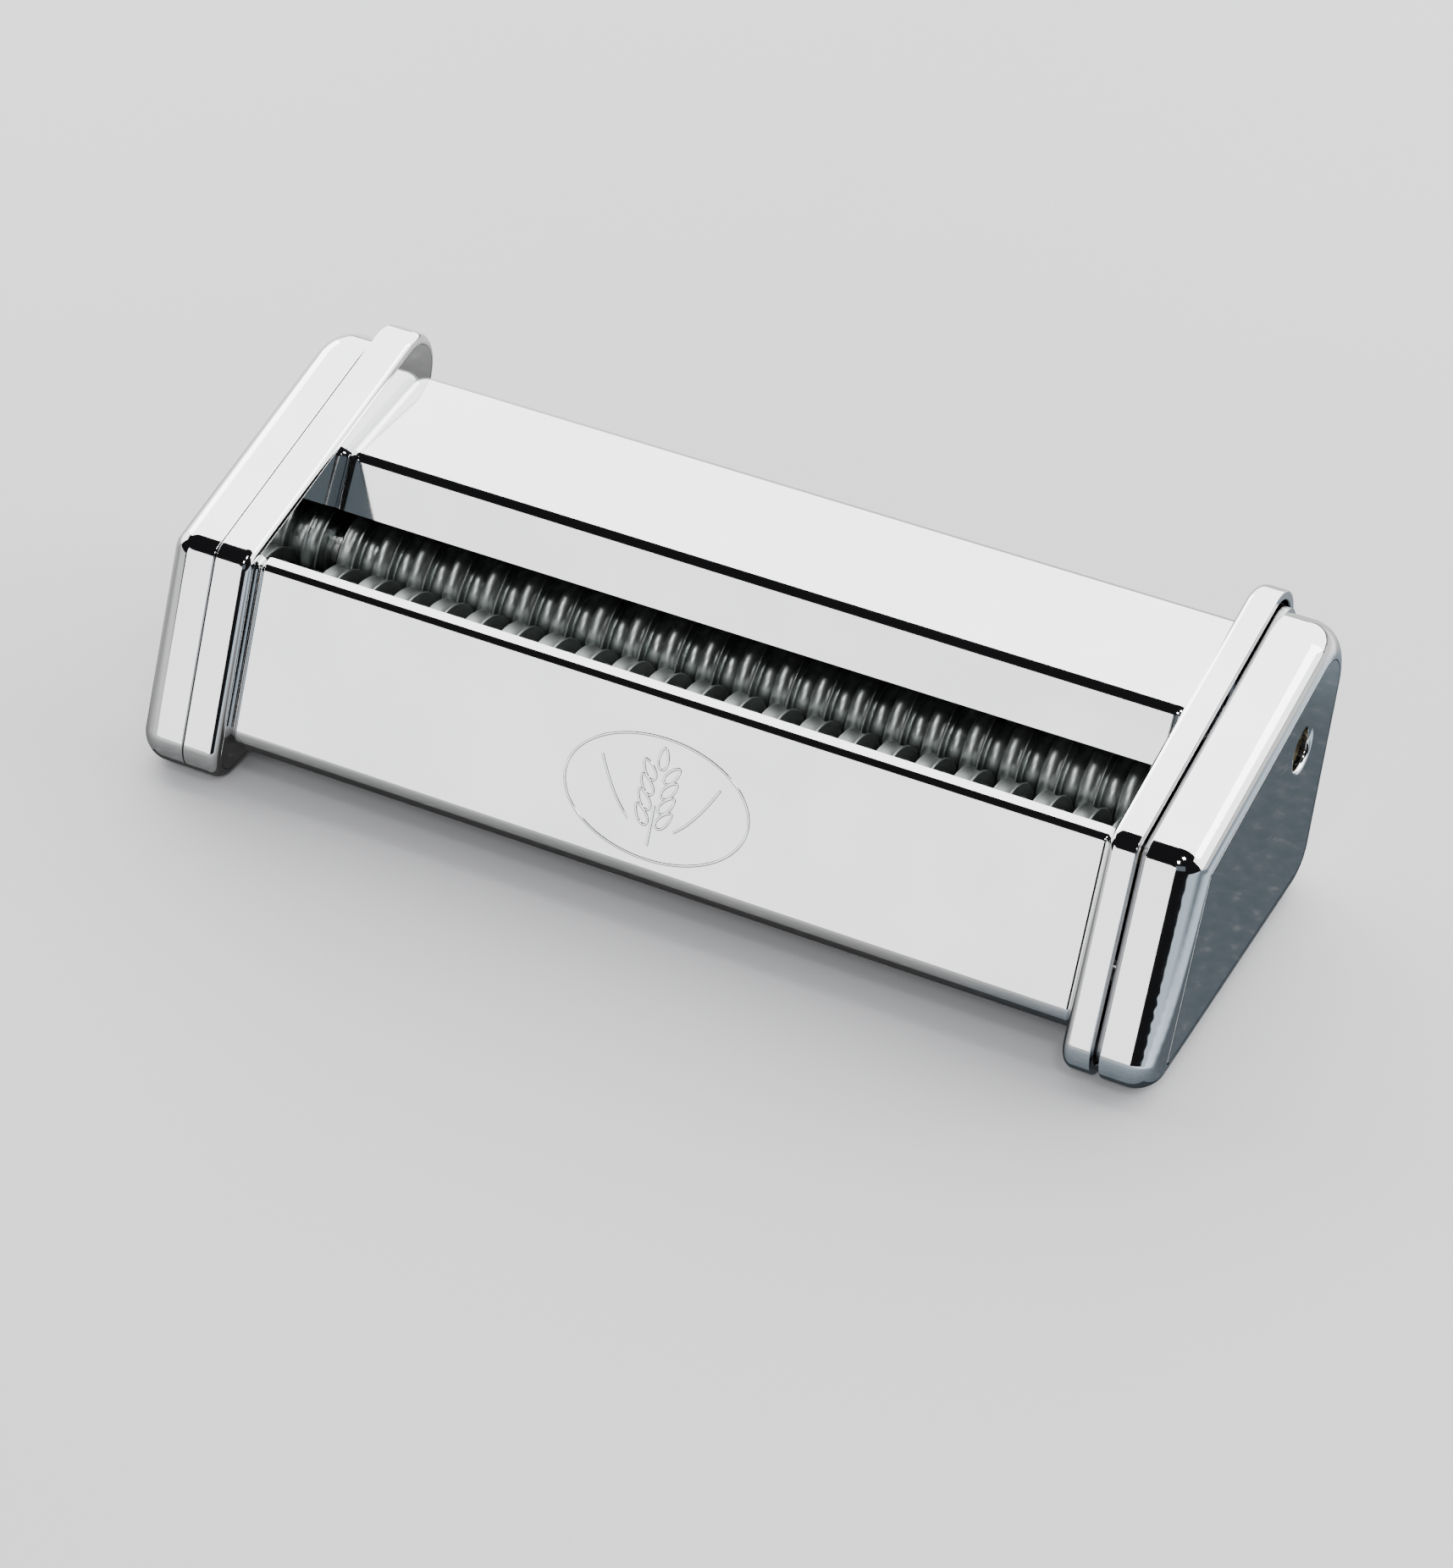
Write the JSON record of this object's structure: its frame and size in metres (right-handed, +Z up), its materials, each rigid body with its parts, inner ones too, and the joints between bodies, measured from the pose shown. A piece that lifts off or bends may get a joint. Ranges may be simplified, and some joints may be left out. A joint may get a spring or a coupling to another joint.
{
  "type": "pasta cutter attachment",
  "caption": "Clip-on pasta cutter: a low chromed housing with end caps, a top slot for the sheet of dough, grooved cutting rollers and a crank socket.",
  "frame": {"origin": "centre of the bounding box's bottom face, on the table under the middle of the housing", "axes": "+X along the rollers towards the crank end, +Y from the leaning front cover to the back, +Z up"},
  "size_m": [0.191, 0.0784, 0.0508],
  "materials": {
    "housing_chrome": "bright",
    "cover_chrome": "satin",
    "plate_steel": "satin",
    "roller_steel": "satin",
    "shaft_steel": "ground",
    "gear_steel": "satin",
    "clip_steel": "blackened",
    "rod_steel": "zinc plated",
    "comb_plastic": "moulded",
    "bush_bronze": "sintered"
  },
  "bodies": {
    "frame": {"left_end_cap": "housing_chrome", "right_end_cap": "housing_chrome", "left_bezel": "housing_chrome", "right_bezel": "housing_chrome", "left_side_plate": "plate_steel", "right_side_plate": "plate_steel", "front_cover": "cover_chrome", "rear_cover": "cover_chrome", "front_comb": "comb_plastic", "rear_comb": "comb_plastic", "front_tie_rod": "rod_steel", "rear_tie_rod": "rod_steel", "back_tie_rod": "rod_steel", "back_spacer_tube": "rod_steel", "tie_rod_nuts": "rod_steel", "front_left_bush": "bush_bronze", "front_right_bush": "bush_bronze", "rear_left_bush": "bush_bronze", "rear_right_bush": "bush_bronze", "spindle_inner_bush": "bush_bronze", "spindle_outer_bush": "bush_bronze", "spindle_boss": "housing_chrome"},
    "rear_roller_unit": {"rear_roller": "roller_steel", "rear_shaft": "shaft_steel", "rear_timing_gear": "gear_steel", "rear_drive_gear": "gear_steel", "rear_washers": "rod_steel", "rear_shaft_clips": "clip_steel"},
    "front_roller_unit": {"front_roller": "roller_steel", "front_shaft": "shaft_steel", "front_timing_gear": "gear_steel", "front_washers": "rod_steel", "front_shaft_clips": "clip_steel"},
    "crank_unit": {"crank_spindle": "shaft_steel", "crank_pinion": "gear_steel", "spindle_clip": "clip_steel"}
  },
  "joints": [
    {"name": "rear_roller_spin", "type": "hinge", "parent": "frame", "child": "rear_roller_unit", "pos_m": [0, 0.00847, 0.0193], "axis": [1, 0, 0], "continuous": true},
    {"name": "front_roller_spin", "type": "hinge", "parent": "frame", "child": "front_roller_unit", "pos_m": [0, -0.01053, 0.0193], "axis": [1, 0, 0], "continuous": true},
    {"name": "crank_spindle_spin", "type": "hinge", "parent": "frame", "child": "crank_unit", "pos_m": [0.09, 0.01758, 0.03302], "axis": [1, 0, 0], "continuous": true}
  ],
  "couplings": [
    {"joint": "front_roller_spin", "follows": "rear_roller_spin", "ratio": -1},
    {"joint": "crank_spindle_spin", "follows": "rear_roller_spin", "ratio": -1.3636}
  ]
}
